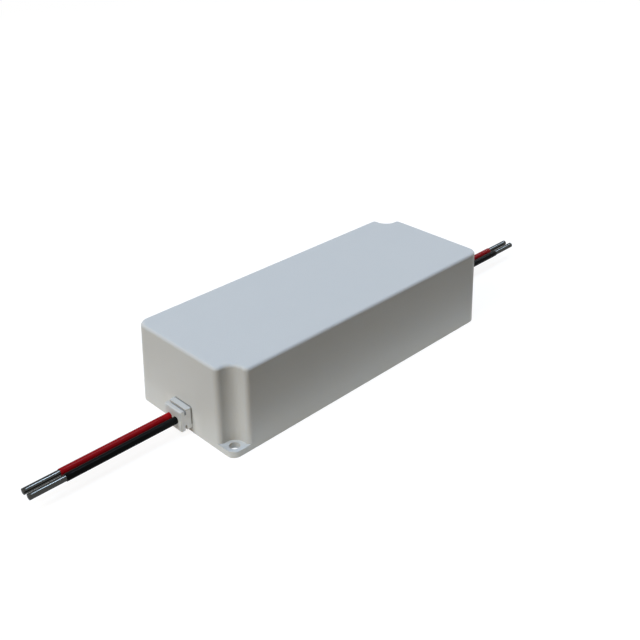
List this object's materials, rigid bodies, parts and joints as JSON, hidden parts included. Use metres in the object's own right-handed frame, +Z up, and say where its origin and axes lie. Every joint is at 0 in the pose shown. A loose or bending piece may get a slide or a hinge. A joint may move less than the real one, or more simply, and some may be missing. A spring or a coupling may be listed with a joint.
{
  "type": "waterproof power supply",
  "caption": "Potted plastic power supply case with corner screw ears and short stripped red and black leads leaving a strain relief at each end.",
  "frame": {"origin": "middle of the case's underside", "axes": "+X along the case towards its input end, +Y across the case, +Z up out of the underside"},
  "size_m": [0.2884, 0.06, 0.036],
  "materials": {
    "case": "fine matt grain",
    "cover": "fine matt grain",
    "strain_relief": "smooth moulded",
    "red_insulation": "satin extruded",
    "black_insulation": "satin extruded",
    "tinned_wire": "tinned twisted strands",
    "laminate": "solder mask",
    "solder": "bright solder",
    "resin": "matt cast resin",
    "ferrite": "ground ferrite",
    "enamelled_copper": "enamelled wire",
    "winding_tape": "polyester tape",
    "black_moulding": "moulded epoxy",
    "film_box": "moulded box",
    "capacitor_sleeve": "shrunk sleeve",
    "blue_coating": "dipped coating",
    "brown_coating": "dipped coating",
    "sheet_aluminium": "mill finish",
    "silicone_pad": "matt",
    "screw_steel": "zinc plated"
  },
  "bodies": {
    "root": {"case": "case", "base_cover": "cover", "input_strain_relief": "strain_relief", "output_strain_relief": "strain_relief", "input_red_jacket": "red_insulation", "output_red_jacket": "red_insulation", "input_black_jacket": "black_insulation", "output_black_jacket": "black_insulation", "input_red_core": "tinned_wire", "input_black_core": "tinned_wire", "output_red_core": "tinned_wire", "output_black_core": "tinned_wire", "circuit_board": "laminate", "solder_joints": "solder", "potting_compound": "resin", "choke_core": "ferrite", "transformer_core_input": "ferrite", "transformer_core_output": "ferrite", "output_inductor_core": "ferrite", "choke_winding_left": "enamelled_copper", "choke_winding_right": "enamelled_copper", "output_inductor_winding": "enamelled_copper", "transformer_winding": "winding_tape", "fuse": "black_moulding", "choke_base": "black_moulding", "bridge_rectifier": "black_moulding", "switch_transistor": "black_moulding", "output_rectifier": "black_moulding", "transformer_bobbin": "black_moulding", "controller_chip": "black_moulding", "optocoupler": "black_moulding", "line_capacitor": "film_box", "bulk_capacitor": "capacitor_sleeve", "output_capacitor_1": "capacitor_sleeve", "output_capacitor_2": "capacitor_sleeve", "surge_varistor": "blue_coating", "safety_capacitor": "blue_coating", "inrush_thermistor": "brown_coating", "snubber_capacitor": "brown_coating", "snubber_resistor": "brown_coating", "primary_heatsink": "sheet_aluminium", "output_heatsink": "sheet_aluminium", "primary_insulator": "silicone_pad", "output_insulator": "silicone_pad", "primary_sink_screw": "screw_steel", "output_sink_screw": "screw_steel"}
  },
  "joints": []
}
